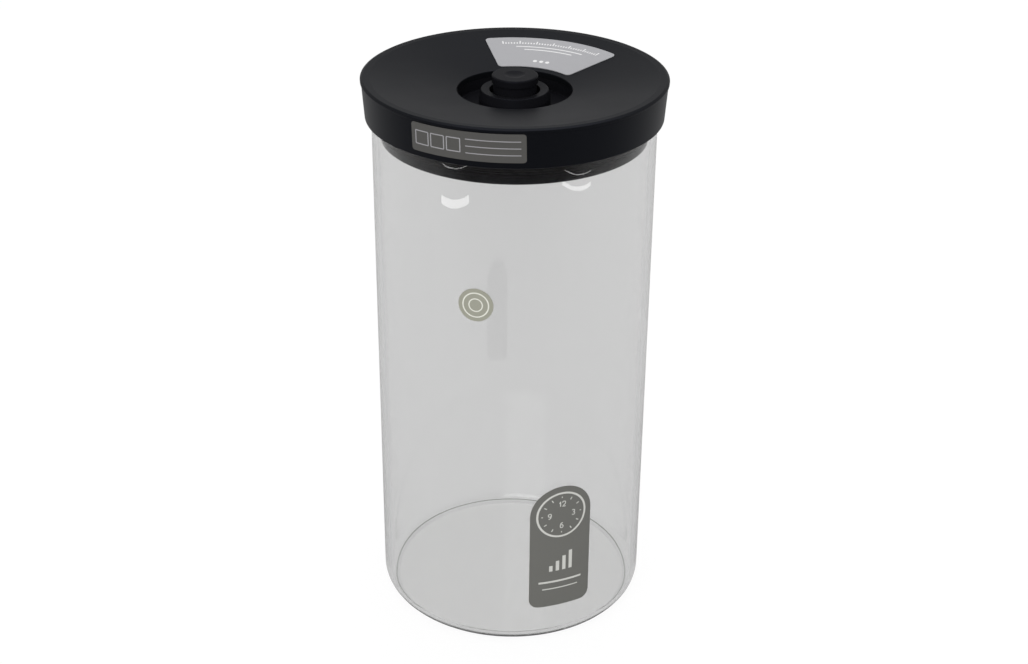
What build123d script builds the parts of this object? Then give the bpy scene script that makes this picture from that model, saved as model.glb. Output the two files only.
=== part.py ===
from build123d import *
import math
import os

# A glass storage jar with a press-in lid. A one-way valve in the middle of the lid lets the air
# out when a pump is set over it, and pulling up the valve's button lets the air back in.
# Millimetres. The origin is the middle of the jar's base, +Z is up and the front is towards -Y.

# Jar
jar_radius = 49.0
jar_wall = 2.3
jar_height = 194.3
jar_floor = 2.5
jar_foot_round = 6.5
jar_inside_round = 3.0
jar_lip_round = 1.1

# Sealing ring, stretched round the plug and pressing on the inside of the glass
lip_clearance = 0.1
lip_reach = 1.4
lip_root = 1.8
lip_tip = 0.7
lip_place_shares = (0.17, 0.47, 0.77)
ring_groove_depth = 3.0
ring_flange = 1.7
ring_seat_gap = 0.1
stack_gap = 0.1

# Plug, the moulding that goes down into the jar
plug_clearance = 0.5
plug_wall = 2.0
plug_floor = 2.2
plug_band = 4.4
plug_bottom_round = 3.0
plug_taper = 0.8
plug_flange = 1.6
plug_flange_gap = 0.2
plug_corner_round = 0.4
hub_plate = 2.0
hub_wall = 2.0
hub_margin = 1.2

# Skirt, the ring round the jar's mouth
skirt_clearance = 0.4
skirt_wall = 1.8
skirt_taper = 0.9
skirt_drop = 5.5
skirt_edge_round = 0.5
skirt_shelf_width = 2.6

# Cover, the dished top that lies on the skirt
cover_rise = 4.85
cover_wall = 2.0
cover_rim = 0.8
rim_overhang = 0.35
rim_land = 1.7
rim_slope_width = 1.5
rim_slope_drop = 0.5
rim_round = 0.3
rim_inner_round = 0.5
dish_depth = 5.23
cover_seat_gap = 0.05
cover_fit = 0.05

# Well in the middle of the lid, where the pump's mouth goes
well_radius = 19.7
well_depth = 6.0
well_wall = 1.8
well_edge_round = 0.3
well_joint_gap = 0.1

# Valve cup: the well's floor and wall, the collar round the button and the valve seat inside it
cup_plate = 2.2
collar_radius = 12.2
collar_top_radius = 11.5
collar_height = 6.2
collar_taper_height = 3.0
collar_top_round = 0.3
collar_top_dip = 0.25
collar_bore = 8.73
seat_depth = 3.0
seat_plate = 2.0
guide_clearance = 0.08
air_hole_radius = 1.2
air_hole_circle = 4.8
air_hole_count = 6
spigot_wall = 2.0
spigot_clearance = 0.1
spigot_end_gap = 0.3
cup_seal_height = 2.1
cup_seal_width = 4.1

# Valve: button, stem, sealing disc, clip and spring
stem_radius = 1.5
stem_end_gap = 0.5
stem_clearance = 0.03
button_rise = 5.0
button_cap = 2.7
button_overhang = 0.49
button_gap = 1.33
button_wall = 1.6
button_edge_round = 0.6
button_under_round = 0.2
button_boss = 1.4
button_boss_depth = 4.3
button_hollow_depth = 3.1
dimple_radius = 4.3
dimple_depth = 0.5
disc_gap = 1.13
disc_height = 1.4
disc_rim = 0.6
disc_bevel = 1.0
valve_seat_gap = 0.05
clip_height = 0.6
clip_radius = 3.2
clip_rise = 0.4
clip_slot = 1.7
clip_groove_depth = 0.45
spring_wire = 0.45
spring_radius = 2.6
spring_turns = 5
spring_end_gap = 0.02

# Screws that clamp the plug, the valve cup and the cover together
screw_radius = 1.5
screw_head_radius = 2.8
screw_head = 1.7
screw_bite = 2.9
screw_tip_gap = 0.4
screw_hole_clearance = 0.2
screw_cross_width = 0.7
screw_cross_length = 3.4
screw_cross_depth = 1.0
screw_count = 4
screw_first_angle = 45.0
boss_wall = 1.7
boss_margin = 0.6
cup_margin = 0.3

# Filter under the valve, and the guard that holds it
guard_depth = 4.4
guard_plate = 1.2
guard_wall = 1.2
guard_clearance = 0.2
guard_edge_round = 0.4
filter_radius = 12.0
filter_clearance = 0.15
guard_hole_radius = 1.3
guard_hole_rings = ((0.0, 1), (4.0, 6), (8.0, 12))

# Labels. Angles are in degrees round the axis, from the front towards +X
label_thickness = 0.2
label_lift = 0.02
panel_angle = 21.4
panel_width = 23.1
panel_bottom = 15.95
panel_height = 50.8
panel_corner_round = 3.5
mark_angle = -14.6
mark_height = 138.9
mark_radius = 6.0
skirt_label_angle = -17.4
skirt_label_width = 38.3
skirt_label_height = 9.9
skirt_label_rise = 2.3
skirt_label_corner = 1.0
top_label_angle = 159.4
top_label_half_angle = 35.4
top_label_inner = 2.3
top_label_outer = 6.4
top_label_corner = 1.6

# Radii worked out from the jar outwards and inwards
jar_bore = jar_radius - jar_wall
skirt_bore = jar_radius + skirt_clearance
skirt_foot_radius = skirt_bore + skirt_wall
skirt_top_radius = skirt_foot_radius + skirt_taper
lid_radius = skirt_top_radius + rim_overhang
land_radius = lid_radius - rim_slope_width
dish_radius = land_radius - rim_land
rim_seat_radius = skirt_top_radius - skirt_wall
plug_radius = jar_bore - plug_clearance
groove_radius = plug_radius - ring_groove_depth
plug_bore = groove_radius - plug_wall
plug_flange_radius = skirt_bore - plug_flange_gap
boss_radius = screw_radius + boss_wall
screw_circle = well_radius + well_wall + boss_margin + boss_radius
cup_radius = screw_circle + boss_radius + cup_margin
hub_bore = cup_radius + hub_margin
spigot_radius = collar_bore + spigot_wall
spigot_hole = spigot_radius + spigot_clearance
stem_guide = stem_radius + guide_clearance
neck_radius = collar_bore - button_gap
button_radius = neck_radius + button_overhang

# Heights of the lid's stack, from the jar's lip up
ring_flange_bottom = jar_height + ring_seat_gap
plug_flange_bottom = ring_flange_bottom + ring_flange + stack_gap
plug_flange_top = plug_flange_bottom + plug_flange
dish_slope = dish_depth / (dish_radius - well_radius)
lid_top = plug_flange_top + cover_rise
rim_bottom = lid_top - rim_slope_drop - cover_rim
skirt_bottom = jar_height - skirt_drop
well_edge = lid_top - dish_depth
well_floor = well_edge - well_depth

# Heights of the valve and the filter, from the well's floor up and down
cup_bottom = well_floor - cup_plate
hub_top = cup_bottom - cup_seal_height
hub_bottom = hub_top - hub_plate
plug_bottom = hub_bottom - guard_depth
band_top = plug_bottom + plug_band
ring_bottom = band_top + stack_gap
collar_top = well_floor + collar_height
seat_top = collar_top - seat_depth
seat_bottom = seat_top - seat_plate
disc_bottom = seat_top + valve_seat_gap
button_bottom = disc_bottom + disc_height
button_top = collar_top + button_rise
button_under = button_top - button_cap
stem_bottom = hub_bottom + stem_end_gap
clip_bottom = stem_bottom + clip_rise
clip_top = clip_bottom + clip_height
guard_top = plug_bottom + guard_plate

skirt_slope = skirt_taper / (rim_bottom - skirt_bottom)
cut_overrun = 1.0
full_turn = 360.0
quarter_turn = 90.0


def dish_height(radius):
    """Height of the cover's dished face at a radius."""
    return lid_top - dish_slope * (dish_radius - radius)


def cover_underside(radius):
    """Height of the inside of the dished face at a radius."""
    return dish_height(radius) - cover_wall


def skirt_radius(height):
    """Outer radius of the skirt, which leans out a little towards the rim."""
    return skirt_foot_radius + skirt_slope * (height - skirt_bottom)


def turned(*outline):
    """Turn an outline of (radius, height) or (radius, height, corner round) about the axis."""
    points = [corner[:2] for corner in outline]
    rounds = [corner[2] if len(corner) > 2 else 0 for corner in outline]
    edge = FilletPolyline(*points, radius=rounds, close=True)
    return revolve(Plane.XZ * make_face(edge), Axis.Z, full_turn)


def tube(inner, outer, bottom, top):
    """A plain ring with a square section."""
    return turned((inner, bottom), (outer, bottom), (outer, top), (inner, top))


def rod(radius, bottom, top):
    """A plain round rod on the axis."""
    return Pos(0, 0, bottom) * extrude(Circle(radius), top - bottom)


def around(piece, radius, count, first_angle=0):
    """Copies of a piece, spaced evenly on a circle."""
    return [place * piece for place in PolarLocations(radius, count, first_angle)]


def at_screws(piece):
    """Copies of a piece, one at each screw."""
    return around(piece, screw_circle, screw_count, screw_first_angle)


def facing(angle):
    """A plane through the axis that looks outwards at an angle from the front."""
    turn = math.radians(angle)
    outward = (math.sin(turn), -math.cos(turn), 0)
    rightward = (math.cos(turn), math.sin(turn), 0)
    return Plane(origin=(0, 0, 0), x_dir=rightward, z_dir=outward)


def pressed_on(skin, outline, angle):
    """The part of a thin skin that lies behind an outline seen from outside."""
    return skin & extrude(facing(angle) * outline, lid_radius * 2)


def glass_jar():
    """Straight-sided glass jar with a round foot and a fire-polished lip."""
    return turned(
        (0, 0),
        (jar_radius, 0, jar_foot_round),
        (jar_radius, jar_height, jar_lip_round),
        (jar_bore, jar_height, jar_lip_round),
        (jar_bore, jar_floor, jar_inside_round),
        (0, jar_floor),
    )


def capacity_panel():
    """Arched label low on the front of the jar."""
    skin_radius = jar_radius + label_lift
    skin = tube(skin_radius, skin_radius + label_thickness, 0, jar_height)
    arch_radius = panel_width / 2
    straight = panel_height - arch_radius
    body = Pos(0, panel_bottom + straight / 2) * Rectangle(panel_width, straight)
    feet = body.vertices().group_by(Axis.Y)[0]
    outline = fillet(feet, panel_corner_round) + Pos(0, panel_bottom + straight) * Circle(arch_radius)
    return pressed_on(skin, outline, panel_angle)


def round_mark():
    """Small round label on the front of the jar."""
    skin_radius = jar_radius + label_lift
    skin = tube(skin_radius, skin_radius + label_thickness, 0, jar_height)
    return pressed_on(skin, Pos(0, mark_height) * Circle(mark_radius), mark_angle)


def screw_boss():
    """Boss under the cover that a screw bites into, before its pilot hole."""
    return rod(boss_radius, well_floor, cover_underside(screw_circle) + cover_wall / 2)


def pilot_hole():
    """Hole in a boss for one screw."""
    bite_top = well_floor + screw_bite + screw_tip_gap
    return rod(screw_radius + stem_clearance, well_floor - cut_overrun, bite_top)


def lid_cover():
    """Dished top with the well's opening, a rim that lies on the skirt and four screw bosses."""
    shell = turned(
        (well_radius, well_edge, well_edge_round),
        (well_radius, cover_underside(well_radius)),
        (rim_seat_radius, cover_underside(rim_seat_radius)),
        (rim_seat_radius, rim_bottom),
        (lid_radius, rim_bottom, rim_round),
        (lid_radius, rim_bottom + cover_rim, rim_round),
        (land_radius, lid_top, rim_inner_round),
        (dish_radius, lid_top, rim_inner_round),
    )
    return shell + at_screws(screw_boss()) - at_screws(pilot_hole())


def lid_skirt():
    """Ring round the jar's mouth, held by its shelf between the cover and the plug's flange."""
    inner = rim_seat_radius + cover_fit
    shelf_inner = inner - skirt_shelf_width
    shelf_bottom = plug_flange_top + stack_gap
    shelf_top = cover_underside(shelf_inner) - cover_seat_gap
    top = rim_bottom - cover_seat_gap
    return turned(
        (skirt_bore, skirt_bottom, skirt_edge_round),
        (skirt_foot_radius, skirt_bottom, skirt_edge_round),
        (skirt_top_radius, top),
        (inner, top),
        (inner, shelf_top),
        (shelf_inner, shelf_top),
        (shelf_inner, shelf_bottom),
        (skirt_bore, shelf_bottom),
    )


def lid_plug():
    """Lower moulding of the lid: a cup with a groove for the sealing ring and a hub for the valve."""
    shell = turned(
        (spigot_hole, hub_bottom),
        (hub_bore, hub_bottom),
        (hub_bore, plug_bottom, plug_corner_round),
        (plug_radius - plug_taper, plug_bottom, plug_bottom_round),
        (plug_radius, band_top, plug_corner_round),
        (groove_radius, band_top),
        (groove_radius, plug_flange_bottom),
        (plug_flange_radius, plug_flange_bottom),
        (plug_flange_radius, plug_flange_top),
        (plug_bore, plug_flange_top),
        (plug_bore, plug_bottom + plug_floor, plug_corner_round),
        (hub_bore + hub_wall, plug_bottom + plug_floor),
        (hub_bore + hub_wall, hub_top),
        (spigot_hole, hub_top),
    )
    post = rod(boss_radius, hub_bottom, cup_bottom)
    hole = rod(screw_radius + screw_hole_clearance, hub_bottom - cut_overrun, cup_bottom + cut_overrun)
    return shell + at_screws(post) - at_screws(hole)


def seal_ring():
    """Silicone ring in the plug's groove: three lips on the glass and a flange on the jar's lip."""
    tip_radius = jar_bore - lip_clearance
    body_radius = tip_radius - lip_reach
    inner = groove_radius + stack_gap
    outline = [(inner, ring_bottom), (body_radius, ring_bottom)]
    for share in lip_place_shares:
        middle = ring_bottom + share * (ring_flange_bottom - ring_bottom)
        outline += [
            (body_radius, middle - lip_root / 2),
            (tip_radius, middle - lip_tip / 2),
            (tip_radius, middle + lip_tip / 2),
            (body_radius, middle + lip_root / 2),
        ]
    flange_top = ring_flange_bottom + ring_flange
    outline += [
        (body_radius, ring_flange_bottom),
        (jar_radius, ring_flange_bottom),
        (jar_radius, flange_top),
        (inner, flange_top),
    ]
    return turned(*outline)


def valve_cup():
    """Well's floor and wall with the collar, the valve seat and a spigot down through the hub."""
    wall_top = cover_underside(well_radius) - well_joint_gap
    cup = turned(
        (stem_guide, seat_top),
        (collar_bore, seat_top),
        (collar_bore, collar_top - collar_top_dip),
        (collar_top_radius, collar_top, collar_top_round),
        (collar_radius, collar_top - collar_taper_height),
        (collar_radius, well_floor),
        (well_radius, well_floor),
        (well_radius, wall_top),
        (well_radius + well_wall, wall_top),
        (well_radius + well_wall, well_floor),
        (cup_radius, well_floor),
        (cup_radius, cup_bottom),
        (spigot_radius, cup_bottom),
        (spigot_radius, hub_bottom + spigot_end_gap),
        (collar_bore, hub_bottom + spigot_end_gap),
        (collar_bore, seat_bottom),
        (stem_guide, seat_bottom),
    )
    air_hole = rod(air_hole_radius, seat_bottom - cut_overrun, seat_top + cut_overrun)
    screw_hole = rod(
        screw_radius + screw_hole_clearance,
        cup_bottom - cut_overrun,
        well_floor + cut_overrun,
    )
    cup -= around(air_hole, air_hole_circle, air_hole_count)
    return cup - at_screws(screw_hole)


def cup_seal():
    """Flat silicone washer between the valve cup and the plug's hub."""
    return tube(spigot_hole, spigot_hole + cup_seal_width, hub_top, cup_bottom)


def lid_screws():
    """Four pan-head screws, driven up from under the plug's hub."""
    head = rod(screw_head_radius, hub_bottom - screw_head, hub_bottom)
    shank = rod(screw_radius, hub_bottom, well_floor + screw_bite)
    slot = Box(screw_cross_length, screw_cross_width, screw_cross_depth * 2)
    cross = Pos(0, 0, hub_bottom - screw_head) * (slot + Rot(0, 0, quarter_turn) * slot)
    return Compound(children=at_screws(head + shank - cross))


def filter_disc():
    """Round felt filter that keeps grains and powder out of the valve."""
    return rod(filter_radius, guard_top + valve_seat_gap, hub_bottom - stack_gap)


def filter_guard():
    """Snap-in cap under the lid that holds the filter and hides the screws."""
    outer = hub_bore - guard_clearance
    wall_top = hub_bottom - stack_gap
    pocket = filter_radius + filter_clearance
    guard = turned(
        (0, plug_bottom),
        (outer, plug_bottom, guard_edge_round),
        (outer, wall_top),
        (outer - guard_wall, wall_top),
        (outer - guard_wall, guard_top),
        (0, guard_top),
    )
    guard += tube(pocket, pocket + guard_wall, guard_top - guard_plate / 2, wall_top)
    hole = rod(guard_hole_radius, plug_bottom - cut_overrun, guard_top + cut_overrun)
    for ring_radius, hole_count in guard_hole_rings:
        guard -= around(hole, ring_radius, hole_count)
    return guard


def valve_button():
    """Button that is pulled up to let the air in, hollow below, with a dimple on top."""
    bore = stem_radius + stem_clearance
    bore_top = button_bottom + button_boss_depth
    hollow_top = button_bottom + button_hollow_depth
    button = turned(
        (0, bore_top),
        (bore, bore_top),
        (bore, button_bottom),
        (bore + button_boss, button_bottom),
        (bore + button_boss, hollow_top),
        (neck_radius - button_wall, hollow_top),
        (neck_radius - button_wall, button_bottom),
        (neck_radius, button_bottom),
        (neck_radius, button_under),
        (button_radius, button_under, button_under_round),
        (button_radius, button_top, button_edge_round),
        (0, button_top),
    )
    ball_radius = (dimple_radius**2 + dimple_depth**2) / (dimple_depth * 2)
    return button - Pos(0, 0, button_top + ball_radius - dimple_depth) * Sphere(ball_radius)


def valve_stem():
    """Steel pin that carries the sealing disc and runs in the seat's guide hole."""
    pin_top = button_bottom + button_boss_depth - stem_clearance
    groove = tube(stem_radius - clip_groove_depth, stem_radius * 2, clip_bottom, clip_top)
    return rod(stem_radius, stem_bottom, pin_top) - groove


def valve_disc():
    """Silicone disc that lies on the seat and covers its air holes."""
    hole = stem_radius + stem_clearance
    outer = collar_bore - disc_gap
    return turned(
        (hole, disc_bottom),
        (outer, disc_bottom),
        (outer, disc_bottom + disc_rim),
        (outer - disc_bevel, button_bottom),
        (hole, button_bottom),
    )


def stem_clip():
    """Open spring clip in the stem's groove, under the spring."""
    inner = stem_radius - clip_groove_depth + stem_clearance
    slot = Pos(clip_radius / 2, 0, clip_bottom + clip_height / 2) * Box(
        clip_radius, clip_slot, clip_height * 2
    )
    low = clip_bottom + stem_clearance
    high = clip_top - stem_clearance
    return tube(inner, clip_radius, low, high) - slot


def valve_spring():
    """Light coil spring round the stem, between the clip and the underside of the seat."""
    wire_radius = spring_wire / 2
    low = clip_top + wire_radius + spring_end_gap
    high = seat_bottom - wire_radius - spring_end_gap
    coil = Helix(pitch=(high - low) / spring_turns, height=high - low, radius=spring_radius)
    section = Plane(origin=coil @ 0, z_dir=coil % 0) * Circle(wire_radius)
    return Pos(0, 0, low) * sweep(section, path=coil, is_frenet=True)


def skirt_label():
    """Long label on the front of the skirt."""
    bottom = skirt_bottom + skirt_label_rise
    top = bottom + skirt_label_height
    inner_low = skirt_radius(bottom - cut_overrun) + label_lift
    inner_high = skirt_radius(top + cut_overrun) + label_lift
    skin = turned(
        (inner_low, bottom - cut_overrun),
        (inner_low + label_thickness, bottom - cut_overrun),
        (inner_high + label_thickness, top + cut_overrun),
        (inner_high, top + cut_overrun),
    )
    outline = RectangleRounded(skirt_label_width, skirt_label_height, skirt_label_corner)
    return pressed_on(skin, Pos(0, (bottom + top) / 2) * outline, skirt_label_angle)


def top_label():
    """Fan-shaped label on the dished face, behind the valve."""
    inner = well_radius + top_label_inner
    outer = dish_radius - top_label_outer
    low = well_radius + well_edge_round
    high = dish_radius - rim_inner_round
    skin = turned(
        (low, dish_height(low) + label_lift),
        (high, dish_height(high) + label_lift),
        (high, dish_height(high) + label_lift + label_thickness),
        (low, dish_height(low) + label_lift + label_thickness),
    )
    reach = math.radians(top_label_half_angle)
    inner_corner = (inner * math.sin(reach), -inner * math.cos(reach))
    outer_corner = (outer * math.sin(reach), -outer * math.cos(reach))
    fan = make_face(
        [
            Line(inner_corner, outer_corner),
            ThreePointArc(outer_corner, (0, -outer), (-outer_corner[0], outer_corner[1])),
            Line((-outer_corner[0], outer_corner[1]), (-inner_corner[0], inner_corner[1])),
            ThreePointArc((-inner_corner[0], inner_corner[1]), (0, -inner), inner_corner),
        ]
    )
    fan = fillet(fan.vertices(), top_label_corner)
    prism = Pos(0, 0, well_floor) * extrude(Rot(0, 0, top_label_angle) * fan, lid_top - well_floor)
    return skin & prism


pieces = {
    "glass_jar": glass_jar,
    "capacity_panel": capacity_panel,
    "round_mark": round_mark,
    "lid_cover": lid_cover,
    "lid_skirt": lid_skirt,
    "lid_plug": lid_plug,
    "seal_ring": seal_ring,
    "valve_cup": valve_cup,
    "cup_seal": cup_seal,
    "lid_screws": lid_screws,
    "filter_disc": filter_disc,
    "filter_guard": filter_guard,
    "valve_button": valve_button,
    "valve_stem": valve_stem,
    "valve_disc": valve_disc,
    "stem_clip": stem_clip,
    "valve_spring": valve_spring,
    "skirt_label": skirt_label,
    "top_label": top_label,
}

os.makedirs("parts", exist_ok=True)
for name, make in pieces.items():
    export_step(make(), f"parts/{name}.step")
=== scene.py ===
import math

import bpy
from mathutils import Matrix, Vector


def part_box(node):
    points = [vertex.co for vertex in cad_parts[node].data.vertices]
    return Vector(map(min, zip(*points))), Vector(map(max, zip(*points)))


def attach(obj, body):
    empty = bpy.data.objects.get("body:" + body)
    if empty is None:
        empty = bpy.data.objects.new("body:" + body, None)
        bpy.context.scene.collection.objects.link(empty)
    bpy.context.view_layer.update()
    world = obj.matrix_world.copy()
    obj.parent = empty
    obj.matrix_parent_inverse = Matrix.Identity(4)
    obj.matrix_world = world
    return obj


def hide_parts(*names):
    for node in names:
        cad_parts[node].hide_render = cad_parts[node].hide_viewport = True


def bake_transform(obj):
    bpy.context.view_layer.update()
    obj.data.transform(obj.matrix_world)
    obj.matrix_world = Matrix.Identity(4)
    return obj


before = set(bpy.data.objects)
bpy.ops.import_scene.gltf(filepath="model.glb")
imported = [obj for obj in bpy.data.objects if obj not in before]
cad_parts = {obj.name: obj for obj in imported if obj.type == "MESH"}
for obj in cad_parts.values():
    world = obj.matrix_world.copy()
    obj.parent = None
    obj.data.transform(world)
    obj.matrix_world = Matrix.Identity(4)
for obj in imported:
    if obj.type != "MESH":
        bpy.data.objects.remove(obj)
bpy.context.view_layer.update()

# Glass jar
# Straight-sided borosilicate tube with a flat floor melted in, a round foot and a fire-polished
# lip. It is drawn and pressed in one piece, so nothing is joined and the wall waves a little.

mm = 0.001
jar_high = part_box("glass_jar")[1]
jar_radius = jar_high.x
jar_height = jar_high.z
jar_wall = 2.3 * mm
jar_floor = 2.5 * mm
jar_foot_round = 6.5 * mm
jar_inside_round = 3.0 * mm
jar_lip_round = 1.14 * mm
jar_bore = jar_radius - jar_wall

glass_colour = "#CBCBCB"
inside_colour = "#FFFFFF"
# Painted light: a paler cast on the glass's bottom faces
foot_colour = "#DEDEDD"
# Painted shade: a fine darker, greener line in the glass's inside corner
painted_shade_line_colour = "#82887F"
painted_shade_line_inset = 2.2 * mm
painted_shade_line_width = 0.45 * mm
glass_ior = 1.47
glass_wave = 38 * mm
glass_wave_height = 0.02 * mm

round_steps = 10
turn_steps = 256
hold = 0.1 * mm
same_place = 0.0001 * mm
crease_angle = math.radians(32)


def rounded(outline):
    """Points of a closed outline of (radius, height, corner round), with its corners rounded."""
    points = []
    for place, (radius, height, *corner_round) in enumerate(outline):
        here = Vector((radius, height))
        if not corner_round:
            points.append(here)
            continue
        before = (Vector(outline[place - 1][:2]) - here).normalized()
        after = (Vector(outline[(place + 1) % len(outline)][:2]) - here).normalized()
        half = before.angle(after) / 2
        centre = here + (before + after).normalized() * (corner_round[0] / math.sin(half))
        first = here + before * (corner_round[0] / math.tan(half)) - centre
        last = here + after * (corner_round[0] / math.tan(half)) - centre
        swing = first.angle_signed(last)
        for step in range(round_steps + 1):
            turn = Matrix.Rotation(-swing * step / round_steps, 2)
            points.append(centre + turn @ first)
    return points


def held(points):
    """The same points, with two more near the ends of each long side, so that it shades flat."""
    kept = []
    for place, here in enumerate(points):
        after = points[(place + 1) % len(points)]
        kept.append(here)
        length = (after - here).length
        if length > 4 * hold:
            kept.append(here.lerp(after, hold / length))
            kept.append(after.lerp(here, hold / length))
    return kept


def turned(name, outline, body, nodes, material):
    """A piece turned about the axis from a closed outline that runs anticlockwise."""
    points = held(rounded(outline))
    vertices = []
    rings = []
    for point in points:
        on_axis = point.x < same_place
        ring = []
        for step in range(1 if on_axis else turn_steps):
            turn = math.tau * step / turn_steps
            ring.append(len(vertices))
            vertices.append((point.x * math.cos(turn), point.x * math.sin(turn), point.y))
        rings.append(ring)
    faces = []
    for place, ring in enumerate(rings):
        after = rings[(place + 1) % len(rings)]
        if len(ring) == 1 and len(after) == 1:
            continue
        for step in range(turn_steps):
            corners = (
                ring[step % len(ring)],
                ring[(step + 1) % len(ring)],
                after[(step + 1) % len(after)],
                after[step % len(after)],
            )
            faces.append(tuple(dict.fromkeys(corners)))
    return piece(name, vertices, faces, body, nodes, material)


def piece(name, vertices, faces, body, nodes, material):
    """A smooth-shaded mesh piece that rides on its body, if it has one, and stands for its CAD nodes."""
    mesh = bpy.data.meshes.new(name)
    mesh.from_pydata(vertices, [], faces)
    mesh.validate()
    mesh.shade_smooth()
    mesh.set_sharp_from_angle(angle=crease_angle)
    mesh.materials.append(material)
    made = bpy.data.objects.new(name, mesh)
    bpy.context.scene.collection.objects.link(made)
    if body:
        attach(made, body)
    if nodes:
        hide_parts(*nodes)
    return made


def linear(hex_colour):
    """An sRGB hex colour as linear red, green, blue and alpha."""
    channels = [int(hex_colour[place : place + 2], 16) / 255 for place in (1, 3, 5)]
    return [c / 12.92 if c <= 0.04045 else ((c + 0.055) / 1.055) ** 2.4 for c in channels] + [1.0]


def add(tree, kind, settings=None, **inputs):
    """A shader node with its settings. An input goes by its name, or by its number after a _, and
    is set to a value or linked to a socket."""
    node = tree.nodes.new(kind)
    for name, value in (settings or {}).items():
        setattr(node, name, value)
    for name, value in inputs.items():
        socket = node.inputs[int(name[1:])] if name[1:].isdigit() else node.inputs[name.replace("_", " ")]
        if isinstance(value, bpy.types.NodeSocket):
            tree.links.new(value, socket)
        else:
            socket.default_value = value
    return node


def new_material(name):
    """An empty node material with its output, as (material, tree, output)."""
    material = bpy.data.materials.new(name)
    material.use_nodes = True
    tree = material.node_tree
    tree.nodes.clear()
    return material, tree, add(tree, "ShaderNodeOutputMaterial")


def clear_borosilicate(name, colour):
    """Drawn glass: clear with a grey cast, and a slow wave that bends its reflections."""
    material, tree, output = new_material(name)
    place = add(tree, "ShaderNodeTexCoord")
    wave = add(tree, "ShaderNodeTexNoise", Vector=place.outputs["Object"], Scale=1 / glass_wave)
    bump = add(tree, "ShaderNodeBump", Distance=glass_wave_height, Height=wave.outputs["Fac"])
    glass = add(
        tree,
        "ShaderNodeBsdfPrincipled",
        Base_Color=linear(colour),
        Roughness=0.0,
        IOR=glass_ior,
        Transmission_Weight=1.0,
        Normal=bump.outputs[0],
    )
    light_path = add(tree, "ShaderNodeLightPath")
    passing = add(tree, "ShaderNodeBsdfTransparent", Color=linear(colour))
    both = add(
        tree,
        "ShaderNodeMixShader",
        Fac=light_path.outputs["Is Shadow Ray"],
        _1=glass.outputs[0],
        _2=passing.outputs[0],
    )
    tree.links.new(both.outputs[0], output.inputs["Surface"])
    return material


jar_outline = (
    (0, 0),
    (jar_radius, 0, jar_foot_round),
    (jar_radius, jar_height, jar_lip_round),
    (jar_bore, jar_height, jar_lip_round),
    (jar_bore, jar_floor, jar_inside_round),
    (0, jar_floor),
)
jar_glass = clear_borosilicate("clear_borosilicate", glass_colour)
jar = turned("jar_glass", jar_outline, "jar", ["glass_jar"], jar_glass)

# The grey cast sits on the outer faces alone, so that the wall is as grey at its edges, where
# light runs along it, as in the middle. A fine ring in the inside corner gets a darker, greener
# cast: a painted shade line. The bottom faces get a paler cast: painted light that keeps the foot bright.
glass_places = {}
for name, colour in (("inside", inside_colour), ("foot", foot_colour), ("corner", painted_shade_line_colour)):
    glass_places[name] = len(jar.data.materials)
    jar.data.materials.append(clear_borosilicate(f"clear_borosilicate_{name}", colour))
painted_shade_line_reach = jar_bore - painted_shade_line_inset
for face in jar.data.polygons:
    reach = face.center.xy.length
    height = face.center.z
    inside = reach < jar_bore + hold and height > jar_floor - hold
    on_painted_shade_line = painted_shade_line_reach < reach < painted_shade_line_reach + painted_shade_line_width
    # The corner faces take the darker, greener glass of the painted shade line
    if inside and on_painted_shade_line and height < jar_floor + jar_wall:
        face.material_index = glass_places["corner"]
    elif inside:
        face.material_index = glass_places["inside"]
    # The bottom faces get the paler glass: painted light on the foot
    elif height < hold:
        face.material_index = glass_places["foot"]


# Capacity panel
# Arched polyester film stuck low on the front of the glass, printed in a paler tone with a dial of
# months and level bars. It is die-cut, so its edge is crisp and its corners are round.

film_lift = 0.02 * mm
film_thickness = 0.2 * mm
film_rows = 12
film_columns = 48
film_grain = 0.35 * mm
film_grain_height = 0.004 * mm
film_shade_share = 0.94
ink_thickness = 0.012 * mm
ink_step = 0.7 * mm
ring_steps = 96

panel_angle = math.radians(21.4)
panel_width = 23.1 * mm
panel_bottom = 15.95 * mm
panel_height = 50.8 * mm
panel_corner = 3.5 * mm
panel_colour = "#6B6B67"
panel_ink_colour = "#CBCBC6"

dial_height = 55.0 * mm
dial_radius = 9.05 * mm
dial_line = 0.75 * mm
dial_tick_outer = 7.6 * mm
dial_tick_inner = 6.5 * mm
dial_tick_line = 0.35 * mm
dial_months = 12
months_between_numbers = 3
digit_radius = 4.5 * mm
digit_height = 2.1 * mm
digit_width = 1.15 * mm
digit_pitch_share = 1.3
digit_line = 0.34 * mm
bar_bottom = 31.2 * mm
bar_pitch = 2.5 * mm
bar_line = 1.3 * mm
bar_heights_mm = (2.4, 4.2, 6.0, 7.8)
rule_places_mm = ((26.6, 16.4, 0.8), (23.6, 13.6, 0.45))


def on_wall(angle, radius):
    """A way to place (across, up) points on an upright round wall, at a lift off it."""

    def place(across, up, lift):
        turn = angle + math.asin(across / radius)
        return ((radius + lift) * math.sin(turn), -(radius + lift) * math.cos(turn), up)

    return place


def film(name, spans, place, body, nodes, material):
    """A thin film on a surface, made of columns that run from low to high."""
    vertices = []
    for across, low, high in spans:
        for row in range(film_rows + 1):
            up = low + (high - low) * row / film_rows
            vertices.append(place(across, up, film_lift))
            vertices.append(place(across, up, film_lift + film_thickness))
    column = 2 * (film_rows + 1)
    faces = []
    for start in range(0, column * (len(spans) - 1), column):
        for row in range(film_rows):
            low = start + 2 * row
            faces.append((low + 1, low + column + 1, low + column + 3, low + 3))
            faces.append((low, low + 2, low + column + 2, low + column))
        top = start + 2 * film_rows
        faces.append((start, start + column, start + column + 1, start + 1))
        faces.append((top, top + 1, top + column + 1, top + column))
    last = column * (len(spans) - 1)
    for row in range(film_rows):
        low = 2 * row
        faces.append((low, low + 1, low + 3, low + 2))
        low += last
        faces.append((low, low + 2, low + 3, low + 1))
    return piece(name, vertices, faces, body, nodes, material)


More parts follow.
